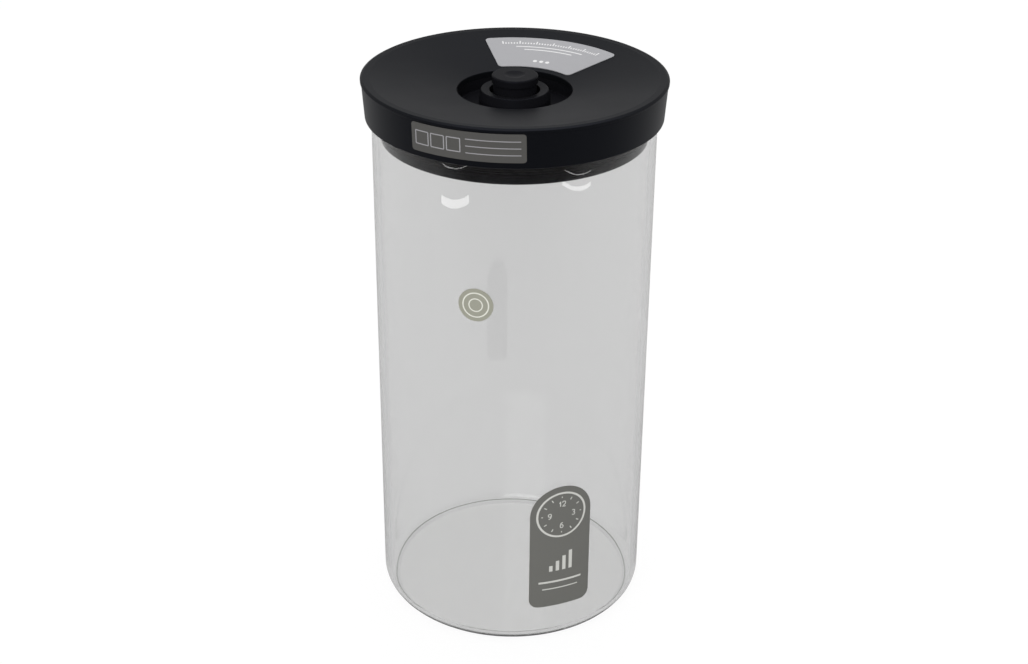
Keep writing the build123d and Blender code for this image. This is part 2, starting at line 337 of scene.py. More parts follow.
def ink(name, lines, place, body, material):
    """Printed lines on a film. Each is (points, line width), and a closed one repeats its start."""
    vertices = []
    faces = []
    for points, width in lines:
        path = []
        for start, end in zip(points, points[1:]):
            start, end = Vector(start), Vector(end)
            steps = max(1, math.ceil((end - start).length / ink_step))
            path += [start.lerp(end, step / steps) for step in range(steps)]
        path.append(Vector(points[-1]))
        closed = (path[0] - path[-1]).length < same_place
        first = len(vertices)
        for number, here in enumerate(path):
            before = path[number - 1] if number else path[-2] if closed else here
            after = path[number + 1] if number + 1 < len(path) else path[1] if closed else here
            along = (after - before).normalized()
            side = Vector((-along.y, along.x)) * (width / 2)
            for edge in (here + side, here - side):
                vertices.append(place(edge.x, edge.y, film_lift + film_thickness))
                vertices.append(place(edge.x, edge.y, film_lift + film_thickness + ink_thickness))
        for number in range(len(path) - 1):
            a = first + 4 * number
            b = a + 4
            faces.append((a + 1, a + 3, b + 3, b + 1))
            faces.append((a, b, b + 2, a + 2))
            faces.append((a, a + 1, b + 1, b))
            faces.append((a + 2, b + 2, b + 3, a + 3))
        if not closed:
            end = first + 4 * (len(path) - 1)
            faces.append((first, first + 2, first + 3, first + 1))
            faces.append((end, end + 1, end + 3, end + 2))
    return piece(name, vertices, faces, body, [], material)


def ring_line(x, y, radius, width, steps=ring_steps):
    """A printed circle."""
    turns = [math.tau * step / steps for step in range(steps)] + [0.0]
    return [(x + radius * math.cos(turn), y + radius * math.sin(turn)) for turn in turns], width


def polyester_film(name, colour, roughness):
    """Printed polyester film: an even flat colour under a faint satin grain that softens glints."""
    material, tree, output = new_material(name)
    place = add(tree, "ShaderNodeTexCoord")
    grain = add(tree, "ShaderNodeTexNoise", Vector=place.outputs["Object"], Scale=1 / film_grain, Detail=3.0)
    bump = add(tree, "ShaderNodeBump", Distance=film_grain_height, Height=grain.outputs["Fac"])
    plain = linear(colour)
    shade = [channel * film_shade_share for channel in plain[:3]] + [1.0]
    tone = add(
        tree,
        "ShaderNodeMix",
        {"data_type": "RGBA"},
        _0=grain.outputs["Fac"],
        _6=shade,
        _7=plain,
    )
    surface = add(
        tree,
        "ShaderNodeBsdfPrincipled",
        Base_Color=tone.outputs[2],
        Roughness=roughness,
        IOR=1.5,
        Specular_IOR_Level=0.3,
        Normal=bump.outputs[0],
    )
    tree.links.new(surface.outputs[0], output.inputs["Surface"])
    return material


def arch_spans():
    """Columns of the arched panel: round corners below, a half circle above."""
    half = panel_width / 2
    spans = []
    for step in range(film_columns + 1):
        across = -half * math.cos(math.pi * step / film_columns)
        past = max(0.0, abs(across) - (half - panel_corner))
        low = panel_bottom + panel_corner - math.sqrt(panel_corner**2 - past**2)
        high = panel_bottom + panel_height - half + math.sqrt(max(0.0, half**2 - across**2))
        spans.append((across, low, high))
    return spans


digit_strokes = {
    "1": [[(-0.2, 0.62), (0.15, 1), (0.15, 0)]],
    "2": [[(-0.5, 0.75), (-0.4, 0.95), (0, 1), (0.4, 0.93), (0.5, 0.7), (0.35, 0.45), (-0.5, 0), (0.5, 0)]],
    "3": [
        [(-0.45, 0.92), (0, 1), (0.4, 0.9), (0.45, 0.68), (0.2, 0.53), (-0.1, 0.52)],
        [(-0.1, 0.52), (0.3, 0.47), (0.5, 0.27), (0.38, 0.06), (0, 0), (-0.45, 0.08)],
    ],
    "6": [
        [(0.4, 0.96), (0.1, 1), (-0.3, 0.8), (-0.48, 0.35), (-0.35, 0.05), (0, 0), (0.38, 0.07)],
        [(0.38, 0.07), (0.5, 0.3), (0.35, 0.54), (0, 0.6), (-0.35, 0.52), (-0.48, 0.35)],
    ],
    "9": [
        [(-0.4, 0.04), (-0.1, 0), (0.3, 0.2), (0.48, 0.65), (0.35, 0.95), (0, 1), (-0.38, 0.93)],
        [(-0.38, 0.93), (-0.5, 0.7), (-0.35, 0.46), (0, 0.4), (0.35, 0.48), (0.48, 0.65)],
    ],
}


def number_lines(text, x, y):
    """Strokes of a number in plain round figures, centred on a point."""
    lines = []
    pitch = digit_width * digit_pitch_share
    for place, digit in enumerate(text):
        left = x + (place - (len(text) - 1) / 2) * pitch
        for stroke in digit_strokes[digit]:
            points = [(left + a * digit_width, y + (b - 0.5) * digit_height) for a, b in stroke]
            lines.append((points, digit_line))
    return lines


def dial_lines():
    """A ring with twelve ticks, and the numbers of four months beside the shorter ones."""
    lines = [ring_line(0, dial_height, dial_radius, dial_line)]
    for month in range(dial_months):
        turn = math.tau * month / dial_months
        across, up = math.sin(turn), math.cos(turn)
        numbered = month % months_between_numbers == 0
        inner = (dial_tick_inner + dial_tick_outer) / 2 if numbered else dial_tick_inner
        ends = [(across * reach, dial_height + up * reach) for reach in (inner, dial_tick_outer)]
        lines.append((ends, dial_tick_line))
        if numbered:
            text = str(month or dial_months)
            lines += number_lines(text, across * digit_radius, dial_height + up * digit_radius)
    return lines


def panel_lines():
    """The dial, four rising level bars and two plain rules."""
    lines = dial_lines()
    for place, height in enumerate(bar_heights_mm):
        across = (place - (len(bar_heights_mm) - 1) / 2) * bar_pitch
        lines.append(([(across, bar_bottom), (across, bar_bottom + height * mm)], bar_line))
    for height, length, width in rule_places_mm:
        half = length * mm / 2
        lines.append(([(-half, height * mm), (half, height * mm)], width * mm))
    return lines


panel_film = polyester_film("warm_grey_polyester", panel_colour, roughness=0.5)
panel_ink = polyester_film("pale_screen_ink", panel_ink_colour, roughness=0.55)
panel_place = on_wall(panel_angle, jar_radius)
film("panel_film", arch_spans(), panel_place, "jar", ["capacity_panel"], panel_film)
ink("panel_print", panel_lines(), panel_place, "jar", panel_ink)


# Round mark
# Small die-cut disc of paler film, stuck by itself higher up on the left, with two thin rings.

mark_angle = math.radians(-14.6)
mark_height = 138.9 * mm
mark_radius = 6.0 * mm
mark_colour = "#9A9A8D"
mark_ink_colour = "#DCDCD2"
mark_rings_mm = ((4.4, 0.45), (2.3, 0.4))
mark_ring_steps = 64


def disc_spans(height, radius):
    """Columns of a round film. The outermost ones keep a little height, so no face is empty."""
    spans = []
    for step in range(film_columns + 1):
        turn = math.pi * (step + 0.5) / (film_columns + 1)
        across = -radius * math.cos(turn)
        reach = radius * math.sin(turn)
        spans.append((across, height - reach, height + reach))
    return spans


mark_film = polyester_film("pale_warm_polyester", mark_colour, roughness=0.5)
mark_ink = polyester_film("cream_screen_ink", mark_ink_colour, roughness=0.55)
mark_place = on_wall(mark_angle, jar_radius)
mark_lines = [
    ring_line(0, mark_height, radius * mm, width * mm, mark_ring_steps)
    for radius, width in mark_rings_mm
]
mark_spans = disc_spans(mark_height, mark_radius)
film("mark_film", mark_spans, mark_place, "jar", ["round_mark"], mark_film)
ink("mark_print", mark_lines, mark_place, "jar", mark_ink)


# Plug
# Lower moulding of the lid that goes down into the glass: black ABS with a broad round foot, a groove for
# the sealing ring and a flange that the skirt clamps down on. Its black is darker and duller than the
# cover's: painted shade where it sits under the skirt and behind the glass.

plug_low, plug_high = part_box("lid_plug")
plug_bottom = plug_low.z
plug_top = plug_high.z
plug_flange_radius = plug_high.x
plug_flange = 1.6 * mm
plug_clearance = 0.5 * mm
plug_radius = jar_bore - plug_clearance
plug_taper = 0.8 * mm
plug_band = 4.4 * mm
plug_foot_round = 3.0 * mm
plug_groove = 3.0 * mm
plug_wall = 2.0 * mm
plug_groove_radius = plug_radius - plug_groove
plug_bore = plug_groove_radius - plug_wall
plug_floor = 2.2 * mm
plug_corner = 0.4 * mm
hub_bore = 30.0 * mm
hub_wall = 2.0 * mm
hub_plate = 2.0 * mm
hub_recess = 4.4 * mm
hub_bottom = plug_bottom + hub_recess
spigot_hole = 10.83 * mm

# The plug's black is darker than the cover's: painted shade
painted_shade_plug_colour = "#08080A"
abs_sheen_colour = "#D6DEFF"
abs_grain = 0.5 * mm
abs_grain_height = 0.008 * mm
abs_cloud = 24 * mm
abs_shade_share = 0.85
abs_gloss_spread = 0.04


def moulded_abs(name, colour, roughness, level, grain_height=abs_grain_height):
    """Black ABS from a spark-textured mould: deep matt black with a fine grain and a soft sheen."""
    material, tree, output = new_material(name)
    place = add(tree, "ShaderNodeTexCoord")
    grain = add(tree, "ShaderNodeTexNoise", Vector=place.outputs["Object"], Scale=1 / abs_grain, Detail=4.0)
    cloud = add(tree, "ShaderNodeTexNoise", Vector=place.outputs["Object"], Scale=1 / abs_cloud, Detail=2.0)
    bump = add(tree, "ShaderNodeBump", Distance=grain_height, Height=grain.outputs["Fac"])
    plain = linear(colour)
    shade = [channel * abs_shade_share for channel in plain[:3]] + [1.0]
    tone = add(
        tree,
        "ShaderNodeMix",
        {"data_type": "RGBA"},
        _0=cloud.outputs["Fac"],
        _6=shade,
        _7=plain,
    )
    gloss = add(
        tree,
        "ShaderNodeMapRange",
        Value=cloud.outputs["Fac"],
        To_Min=roughness - abs_gloss_spread,
        To_Max=roughness + abs_gloss_spread,
    )
    surface = add(
        tree,
        "ShaderNodeBsdfPrincipled",
        Base_Color=tone.outputs[2],
        Roughness=gloss.outputs[0],
        IOR=1.5,
        Specular_IOR_Level=level,
        Specular_Tint=linear(abs_sheen_colour),
        Normal=bump.outputs[0],
    )
    tree.links.new(surface.outputs[0], output.inputs["Surface"])
    return material


# A darker, duller copy of the black ABS: painted shade on the plug under the skirt and behind the glass
painted_shade_abs = moulded_abs("painted_shade_black_abs", painted_shade_plug_colour, roughness=0.5, level=0.04)
plug_outline = (
    (spigot_hole, hub_bottom),
    (hub_bore, hub_bottom),
    (hub_bore, plug_bottom, plug_corner),
    (plug_radius - plug_taper, plug_bottom, plug_foot_round),
    (plug_radius, plug_bottom + plug_band, plug_corner),
    (plug_groove_radius, plug_bottom + plug_band),
    (plug_groove_radius, plug_top - plug_flange),
    (plug_flange_radius, plug_top - plug_flange),
    (plug_flange_radius, plug_top),
    (plug_bore, plug_top),
    (plug_bore, plug_bottom + plug_floor, plug_corner),
    (hub_bore + hub_wall, plug_bottom + plug_floor),
    (hub_bore + hub_wall, hub_bottom + hub_plate),
    (spigot_hole, hub_bottom + hub_plate),
)
turned("plug_moulding", plug_outline, "lid", ["lid_plug"], painted_shade_abs)


# Sealing ring
# Moulded black silicone, stretched into the plug's groove: three soft lips that drag on the glass
# and a flat flange that lies between the plug and the jar's lip.

ring_low, ring_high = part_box("seal_ring")
ring_gap = 0.1 * mm
ring_inner = plug_groove_radius + ring_gap
ring_tip = jar_bore - ring_gap
lip_reach = 1.4 * mm
ring_body = ring_tip - lip_reach
ring_flange = 1.7 * mm
ring_flange_bottom = ring_high.z - ring_flange
lip_root = 1.8 * mm
lip_tip = 0.7 * mm
lip_round = 0.25 * mm
lip_place_shares = (0.17, 0.47, 0.77)

silicone_colour = "#0D0D0F"
silicone_grain = 0.8 * mm
silicone_grain_height = 0.01 * mm


def moulded_silicone():
    """Black silicone rubber: a dull even black that takes only a wide weak sheen."""
    material, tree, output = new_material("matt_black_silicone")
    place = add(tree, "ShaderNodeTexCoord")
    grain = add(tree, "ShaderNodeTexNoise", Vector=place.outputs["Object"], Scale=1 / silicone_grain)
    bump = add(tree, "ShaderNodeBump", Distance=silicone_grain_height, Height=grain.outputs["Fac"])
    surface = add(
        tree,
        "ShaderNodeBsdfPrincipled",
        Base_Color=linear(silicone_colour),
        Roughness=0.6,
        IOR=1.41,
        Specular_IOR_Level=0.08,
        Normal=bump.outputs[0],
    )
    tree.links.new(surface.outputs[0], output.inputs["Surface"])
    return material


silicone = moulded_silicone()
ring_outline = [(ring_inner, ring_low.z), (ring_body, ring_low.z)]
for share in lip_place_shares:
    middle = ring_low.z + share * (ring_flange_bottom - ring_low.z)
    ring_outline += [
        (ring_body, middle - lip_root / 2),
        (ring_tip, middle - lip_tip / 2, lip_round),
        (ring_tip, middle + lip_tip / 2, lip_round),
        (ring_body, middle + lip_root / 2),
    ]
ring_outline += [
    (ring_body, ring_flange_bottom),
    (ring_high.x, ring_flange_bottom, lip_round),
    (ring_high.x, ring_high.z, lip_round),
    (ring_inner, ring_high.z),
]
turned("ring_rubber", ring_outline, "lid", ["seal_ring"], silicone)


# Skirt
# Black ABS ring that hides the jar's mouth. Its outside leans out towards the rim, its foot edge is
# rounded, and its shelf is held between the cover and the plug's flange.

skirt_low, skirt_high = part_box("lid_skirt")
skirt_bottom = skirt_low.z
skirt_top = skirt_high.z
skirt_top_radius = skirt_high.x
skirt_clearance = 0.4 * mm
skirt_wall = 1.8 * mm
skirt_bore = jar_radius + skirt_clearance
skirt_foot_radius = skirt_bore + skirt_wall
skirt_edge_round = 0.5 * mm
skirt_inner = 50.35 * mm
skirt_shelf = 2.6 * mm
skirt_shelf_drop = 1.0 * mm
lid_gap = 0.1 * mm
skirt_shelf_inner = skirt_inner - skirt_shelf
skirt_shelf_bottom = plug_top + lid_gap
skirt_shelf_top = skirt_top - skirt_shelf_drop

abs_colour = "#0E0F11"
black_abs = moulded_abs("matt_black_abs", abs_colour, roughness=0.44, level=0.155)
skirt_outline = (
    (skirt_bore, skirt_bottom, skirt_edge_round),
    (skirt_foot_radius, skirt_bottom, skirt_edge_round),
    (skirt_top_radius, skirt_top),
    (skirt_inner, skirt_top),
    (skirt_inner, skirt_shelf_top),
    (skirt_shelf_inner, skirt_shelf_top),
    (skirt_shelf_inner, skirt_shelf_bottom),
    (skirt_bore, skirt_shelf_bottom),
)
turned("skirt_moulding", skirt_outline, "lid", ["lid_skirt"], black_abs)


# Cover
# Dished top of the lid in matt black ABS. It falls evenly to the well's edge, and round its rim a
# narrow, nearly flat land catches the light before a chamfer drops to the skirt.

cover_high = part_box("lid_cover")[1]
lid_top = cover_high.z
lid_radius = cover_high.x
cover_wall = 2.0 * mm
cover_fit = 0.05 * mm
rim_bottom = skirt_top + cover_fit
rim_side = 0.8 * mm
rim_round = 0.15 * mm
rim_lean = 0.06 * mm
rim_inner_round = 0.5 * mm
rim_chamfer = 0.9 * mm
land_radius = lid_radius - rim_chamfer
land_width = 2.3 * mm
land_rise = 0.12 * mm
dish_radius = land_radius - land_width
dish_top = lid_top - land_rise
well_radius = 19.7 * mm
well_edge_fall = 5.23 * mm
well_edge = lid_top - well_edge_fall
well_edge_round = 0.3 * mm
dish_slope = (dish_top - well_edge) / (dish_radius - well_radius)
cover_edge_under = well_edge - cover_wall + dish_slope * (skirt_inner - well_radius)

cover_outline = (
    (well_radius, well_edge, well_edge_round),
    (well_radius, well_edge - cover_wall),
    (skirt_inner - cover_fit, cover_edge_under),
    (skirt_inner - cover_fit, rim_bottom),
    (lid_radius - rim_lean, rim_bottom, rim_round),
    (lid_radius, rim_bottom + rim_side, rim_round),
    (land_radius, lid_top, rim_inner_round),
    (dish_radius, dish_top, rim_inner_round),
)
turned("cover_moulding", cover_outline, "lid", ["lid_cover"], black_abs)


# Valve cup
# Satin black ABS insert that makes the well's floor and wall and the collar round the button, with
# the valve's seat inside the collar. Four screws pull it up against the cover.

cup_low, cup_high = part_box("valve_cup")
collar_top = cup_high.z
cup_radius = cup_high.x
cup_spigot_bottom = cup_low.z
collar_height = 6.2 * mm
cup_floor = 2.2 * mm
well_floor = collar_top - collar_height
cup_bottom = well_floor - cup_floor
collar_radius = 12.2 * mm
collar_top_radius = 11.5 * mm
collar_taper = 3.0 * mm
collar_round = 0.3 * mm
collar_dip = 0.25 * mm
collar_bore = 8.73 * mm
seat_depth = 3.0 * mm
seat_plate = 2.0 * mm
seat_top = collar_top - seat_depth
seat_bottom = seat_top - seat_plate
spigot_wall = 2.0 * mm
spigot_radius = collar_bore + spigot_wall
stem_guide = 1.58 * mm
well_wall = 1.8 * mm
well_floor_round = 0.4 * mm
well_wall_top = well_edge - cover_wall - lid_gap

satin_colour = "#151518"
satin_grain_height = 0.005 * mm
satin_abs = moulded_abs(
    "satin_black_abs",
    satin_colour,
    roughness=0.4,
    level=0.06,
    grain_height=satin_grain_height,
)
cup_outline = (
    (stem_guide, seat_top),
    (stem_guide, seat_bottom),
    (collar_bore, seat_bottom),
    (collar_bore, cup_spigot_bottom),
    (spigot_radius, cup_spigot_bottom),
    (spigot_radius, cup_bottom),
    (cup_radius, cup_bottom),
    (cup_radius, well_floor),
    (well_radius + well_wall, well_floor),
    (well_radius + well_wall, well_wall_top),
    (well_radius, well_wall_top),
    (well_radius, well_floor, well_floor_round),
    (collar_radius, well_floor, well_floor_round),
    (collar_radius, collar_top - collar_taper),
    (collar_top_radius, collar_top, collar_round),
    (collar_bore, collar_top - collar_dip),
    (collar_bore, seat_top),
)
turned("cup_moulding", cup_outline, "lid", ["valve_cup"], satin_abs)


# Valve button
# Satin black ABS cap that is pulled up with two fingers. It is hollow below, with a shallow dimple
# on top, and its neck runs down inside the collar to the sealing disc.

button_low, button_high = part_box("valve_button")
button_top = button_high.z
button_bottom = button_low.z
button_radius = button_high.x
neck_inset = 0.49 * mm
neck_radius = button_radius - neck_inset
button_cap = 2.7 * mm
button_wall = 1.6 * mm
button_edge_round = 0.6 * mm
button_under_round = 0.2 * mm
button_boss = 2.93 * mm
stem_bore = 1.53 * mm
stem_bore_depth = 4.3 * mm
button_hollow_depth = 3.1 * mm
stem_bore_top = button_bottom + stem_bore_depth
button_hollow_top = button_bottom + button_hollow_depth
dimple_radius = 3.6 * mm
dimple_depth = 0.5 * mm
dimple_steps = 12

dimple_ball = (dimple_radius**2 + dimple_depth**2) / (dimple_depth * 2)
dimple = []
for step in range(dimple_steps + 1):
    reach = dimple_radius * (1 - step / dimple_steps)
    fall = dimple_ball - dimple_depth - math.sqrt(dimple_ball**2 - reach**2)
    dimple.append((reach, button_top + fall))
button_outline = (
    (0, stem_bore_top),
    (stem_bore, stem_bore_top),
    (stem_bore, button_bottom),
    (button_boss, button_bottom),
    (button_boss, button_hollow_top),
    (neck_radius - button_wall, button_hollow_top),
    (neck_radius - button_wall, button_bottom),
    (neck_radius, button_bottom),
    (neck_radius, button_top - button_cap),
    (button_radius, button_top - button_cap, button_under_round),
    (button_radius, button_top, button_edge_round),
    *dimple,
)
turned("button_cap", button_outline, "valve", ["valve_button"], satin_abs)


# Valve's inner pieces, screws, washer and filter
# They stay as the CAD made them. The stem, clip and screws are drawn stainless steel, the disc and
# the washer silicone, the guard the plug's darker ABS with its painted shade, and the filter a pressed
# polyester felt.

steel_colour = "#B4B4B1"
steel_drawing = 0.25 * mm
steel_stretch_share = 0.05
felt_colour = "#DCDCD6"
felt_fibre = 0.6 * mm
felt_fibre_height = 0.15 * mm


def drawn_stainless():
    """Drawn stainless wire: a soft grey metal with fine lines along it that stretch its glints."""
    material, tree, output = new_material("drawn_stainless_steel")
    place = add(tree, "ShaderNodeTexCoord")
    drawn = add(tree, "ShaderNodeMapping", Vector=place.outputs["Object"], Scale=(1, 1, steel_stretch_share))
    lines = add(tree, "ShaderNodeTexNoise", Vector=drawn.outputs[0], Scale=1 / steel_drawing)
    gloss = add(tree, "ShaderNodeMapRange", Value=lines.outputs["Fac"], To_Min=0.22, To_Max=0.4)
    surface = add(
        tree,
        "ShaderNodeBsdfPrincipled",
        Base_Color=linear(steel_colour),
        Metallic=1.0,
        Roughness=gloss.outputs[0],
    )
    tree.links.new(surface.outputs[0], output.inputs["Surface"])
    return material


def pressed_felt():
    """Pressed polyester felt: a pale nap of tangled fibres that scatters light evenly."""
    material, tree, output = new_material("pressed_polyester_felt")
    place = add(tree, "ShaderNodeTexCoord")
    fibres = add(
        tree,
        "ShaderNodeTexNoise",
        Vector=place.outputs["Object"],
        Scale=1 / felt_fibre,
        Detail=6.0,
    )
    bump = add(tree, "ShaderNodeBump", Distance=felt_fibre_height, Height=fibres.outputs["Fac"])
    surface = add(
        tree,
        "ShaderNodeBsdfPrincipled",
        Base_Color=linear(felt_colour),
        Roughness=0.95,
        Sheen_Weight=0.3,
        Normal=bump.outputs[0],
    )
    tree.links.new(surface.outputs[0], output.inputs["Surface"])
    return material


stainless = drawn_stainless()
felt = pressed_felt()
inner_pieces = {
    "lid_screws": stainless,
    "valve_stem": stainless,
    "stem_clip": stainless,
    "cup_seal": silicone,
    "valve_disc": silicone,
    "filter_guard": painted_shade_abs,
    "filter_disc": felt,
}
for name, material in inner_pieces.items():
    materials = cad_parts[name].data.materials
    materials.clear()
    materials.append(material)


# Valve spring
# Light coil of stainless wire round the stem, between the clip and the seat. Its lower end goes up
# with the valve and its upper end stays against the seat, so it shortens as the button is pulled.

spring_low, spring_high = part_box("valve_spring")
spring_wire = 0.45 * mm
spring_turns = 5
spring_steps = 40
wire_sides = 12


def coil(low, high, radius):
    """Points and faces of a round wire that climbs from one height to another in even turns."""
    vertices = []
    faces = []
    climb = (high - low) / (math.tau * spring_turns)
    for step in range(spring_turns * spring_steps + 1):
        turn = math.tau * step / spring_steps
        out = Vector((math.cos(turn), math.sin(turn), 0))
        along = Vector((-radius * math.sin(turn), radius * math.cos(turn), climb)).normalized()
        across = along.cross(out)
        centre = out * radius + Vector((0, 0, low + climb * turn))
        for side in range(wire_sides):
            about = math.tau * side / wire_sides
            way = out * math.cos(about) + across * math.sin(about)
            vertices.append(centre + way * spring_wire / 2)
    for start in range(0, spring_turns * spring_steps * wire_sides, wire_sides):
        for side in range(wire_sides):
            here = start + side
            after = start + (side + 1) % wire_sides
            faces.append((here, after, after + wire_sides, here + wire_sides))
    faces.append(tuple(reversed(range(wire_sides))))
    faces.append(tuple(range(len(vertices) - wire_sides, len(vertices))))
    return vertices, faces


coil_low = spring_low.z + spring_wire / 2
coil_high = spring_high.z - spring_wire / 2
coil_points, coil_faces = coil(coil_low, coil_high, spring_high.x - spring_wire / 2)
spring = piece("spring_coil", coil_points, coil_faces, None, ["valve_spring"], stainless)
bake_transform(spring)


# Skirt label
# Long grey film on the front of the skirt, where the owner writes what is inside and since when:
# three small boxes for the date and ruled lines beside them.

skirt_label_angle = math.radians(-17.4)
skirt_label_width = 38.3 * mm
skirt_label_height = 9.9 * mm
skirt_label_rise = 2.3 * mm
skirt_label_bottom = skirt_bottom + skirt_label_rise
skirt_label_corner = 1.0 * mm
skirt_label_colour = "#504F4D"
skirt_label_ink_colour = "#98979A"
date_boxes = 3
date_box = 4.6 * mm
date_box_pitch = 5.6 * mm
date_box_line = 0.35 * mm
label_margin = 1.6 * mm
ruled_line = 0.3 * mm
ruled_shares = (0.26, 0.5, 0.74)


def on_skirt(across, up, lift):
    """A point on the skirt's leaning outside, (across, up) from the label's middle line."""
    lean = (skirt_top_radius - skirt_foot_radius) / (skirt_top - skirt_bottom)
    radius = skirt_foot_radius + lean * (up - skirt_bottom)
    turn = skirt_label_angle + math.asin(across / radius)
    return ((radius + lift) * math.sin(turn), -(radius + lift) * math.cos(turn), up)


def rounded_spans(width, bottom, height, corner):
    """Columns of a rectangle with round corners."""
    spans = []
    for step in range(film_columns + 1):
        across = -width / 2 * math.cos(math.pi * step / film_columns)
        past = max(0.0, abs(across) - (width / 2 - corner))
        cut = corner - math.sqrt(max(0.0, corner**2 - past**2))
        spans.append((across, bottom + cut, bottom + height - cut))
    return spans


def skirt_label_lines():
    """Three date boxes on the left and three ruled lines on the right."""
    lines = []
    left = label_margin - skirt_label_width / 2
    low = skirt_label_bottom + (skirt_label_height - date_box) / 2
    for number in range(date_boxes):
        x = left + number * date_box_pitch
        corners = [(x, low), (x + date_box, low), (x + date_box, low + date_box), (x, low + date_box)]
        for start, end in zip(corners, corners[1:] + corners[:1]):
            lines.append(([start, end], date_box_line))
    for share in ruled_shares:
        up = skirt_label_bottom + share * skirt_label_height
        start = (left + date_boxes * date_box_pitch + label_margin / 2, up)
        lines.append(([start, (skirt_label_width / 2 - label_margin, up)], ruled_line))
    return lines


skirt_film = polyester_film("grey_polyester", skirt_label_colour, roughness=0.5)
skirt_ink = polyester_film("grey_screen_ink", skirt_label_ink_colour, roughness=0.55)
skirt_spans = rounded_spans(skirt_label_width, skirt_label_bottom, skirt_label_height, skirt_label_corner)
film("skirt_label_film", skirt_spans, on_skirt, "lid", ["skirt_label"], skirt_film)
ink("skirt_label_print", skirt_label_lines(), on_skirt, "lid", skirt_ink)


# Top label
# Fan-shaped silver film on the dish behind the valve, printed in white with a scale of short
# strokes along its outer edge, two arcs under it and three dots near its inner edge.

top_label_angle = math.radians(159.4)
top_label_half_angle = math.radians(35.4)
top_label_inner = 22.0 * mm
top_label_outer = 42.85 * mm
top_label_corner = 1.6 * mm
top_label_colour = "#9B9B9E"
top_label_ink_colour = "#D8D8D8"
scale_radii_mm = (38.2, 40.2)
scale_strokes = 37
strokes_between_long = 6
scale_half_angle = math.radians(27)
scale_line = 0.45 * mm
arc_radii_mm = (36.2, 34.2)
arc_half_angles = (math.radians(20), math.radians(15))
arc_line = 0.5 * mm
arc_steps = 40
dot_reach = 26.2 * mm
dot_radius = 0.75 * mm
dot_hole_radius = 0.03 * mm
dot_turn = math.radians(5)
dot_steps = 24


def on_dish(across, up, lift):
    """A point on the dish: across is a turn from the label's middle line, up is the radius."""
    turn = top_label_angle - across
    height = dish_top - dish_slope * (dish_radius - up)
    return (up * math.sin(turn), -up * math.cos(turn), height + lift)


def fan_spans():
    """Columns of the fan, with round corners."""
    spans = []
    for step in range(film_columns + 1):
        across = -top_label_half_angle * math.cos(math.pi * step / film_columns)
        cuts = []
        for radius in (top_label_inner, top_label_outer):
            edge = (top_label_half_angle - abs(across)) * radius
            past = max(0.0, top_label_corner - edge)
            cuts.append(top_label_corner - math.sqrt(max(0.0, top_label_corner**2 - past**2)))
        spans.append((across, top_label_inner + cuts[0], top_label_outer - cuts[1]))
    return spans


def flat_to_dish(across, up, lift):
    """A point given flat, in metres across and out from the axis, laid on the dish."""
    return on_dish(math.atan2(across, up), math.hypot(across, up), lift)


def arc_line_points(radius, half_angle):
    """Points of an arc about the lid's axis, laid flat."""
    turns = [half_angle * (2 * step / arc_steps - 1) for step in range(arc_steps + 1)]
    return [(radius * math.sin(turn), radius * math.cos(turn)) for turn in turns]


def top_label_lines():
    """A scale of strokes, two arcs below it and three dots near the valve."""
    lines = []
    for number in range(scale_strokes):
        turn = scale_half_angle * (2 * number / (scale_strokes - 1) - 1)
        low, high = (radius * mm for radius in scale_radii_mm)
        if number % strokes_between_long:
            high = (low + high) / 2
        lines.append(([(r * math.sin(turn), r * math.cos(turn)) for r in (low, high)], scale_line))
    for radius, half_angle in zip(arc_radii_mm, arc_half_angles):
        lines.append((arc_line_points(radius * mm, half_angle), arc_line))
    for number in (-1, 0, 1):
        turn = number * dot_turn
        x = dot_reach * math.sin(turn)
        y = dot_reach * math.cos(turn)
        middle_line = (dot_radius + dot_hole_radius) / 2
        lines.append(ring_line(x, y, middle_line, dot_radius - dot_hole_radius, dot_steps))
    return lines


top_film = polyester_film("silver_polyester", top_label_colour, roughness=0.42)
top_ink = polyester_film("white_screen_ink", top_label_ink_colour, roughness=0.5)
film("top_label_film", fan_spans(), on_dish, "lid", ["top_label"], top_film)
ink("top_label_print", top_label_lines(), flat_to_dish, "lid", top_ink)


# Camera
# It stands where the photograph was taken, looking down on the lid, a little turned about its
# own line of sight. Its distance and height were worked out from the lid's and the jar's rounds.

photo_width = 1028
focal_length_px = 1718.6
camera_distance = 556.16 * mm
camera_height = 395.59 * mm
camera_pitch = math.radians(27.667)
camera_roll = math.radians(0.489)
camera_yaw = math.radians(-0.045)

camera_data = bpy.data.cameras.new("camera")
camera_data.lens = focal_length_px / photo_width * camera_data.sensor_width
camera = bpy.data.objects.new("camera", camera_data)
camera.matrix_world = (
    Matrix.Translation((0, -camera_distance, camera_height))
    @ Matrix.Rotation(camera_yaw, 4, "Z")
    @ Matrix.Rotation(math.pi / 2 - camera_pitch, 4, "X")
    @ Matrix.Rotation(camera_roll, 4, "Z")
)
bpy.context.scene.collection.objects.link(camera)
bpy.context.scene.camera = camera


# Floor, world and lamps
# A white sweep seen as plain white, which still takes the jar's soft shadow. A wide soft light
# stands above and behind and another in front, and narrow lamps low in front make the glints.

half_floor = 2.0
floor_gap = 0.2 * mm
world_light = 0.85
mirrored_share = 0.6
dark_share = 0.08
backdrop_way = (0, 0.8, -0.6)
backdrop_dark_reach = -0.2
backdrop_bright_reach = 0.8
sky_bright_rise = 0.15
sky_dark_rise = 0.6
floor_dark_y = -0.42
floor_bright_y = 0.16
floor_glow = 0.93
board_colour = "#D0D0D0"
seen_board_colour = "#4C4C4C"
fade_dark_y = -0.39
fade_bright_y = -0.22
fade_share = 0.3


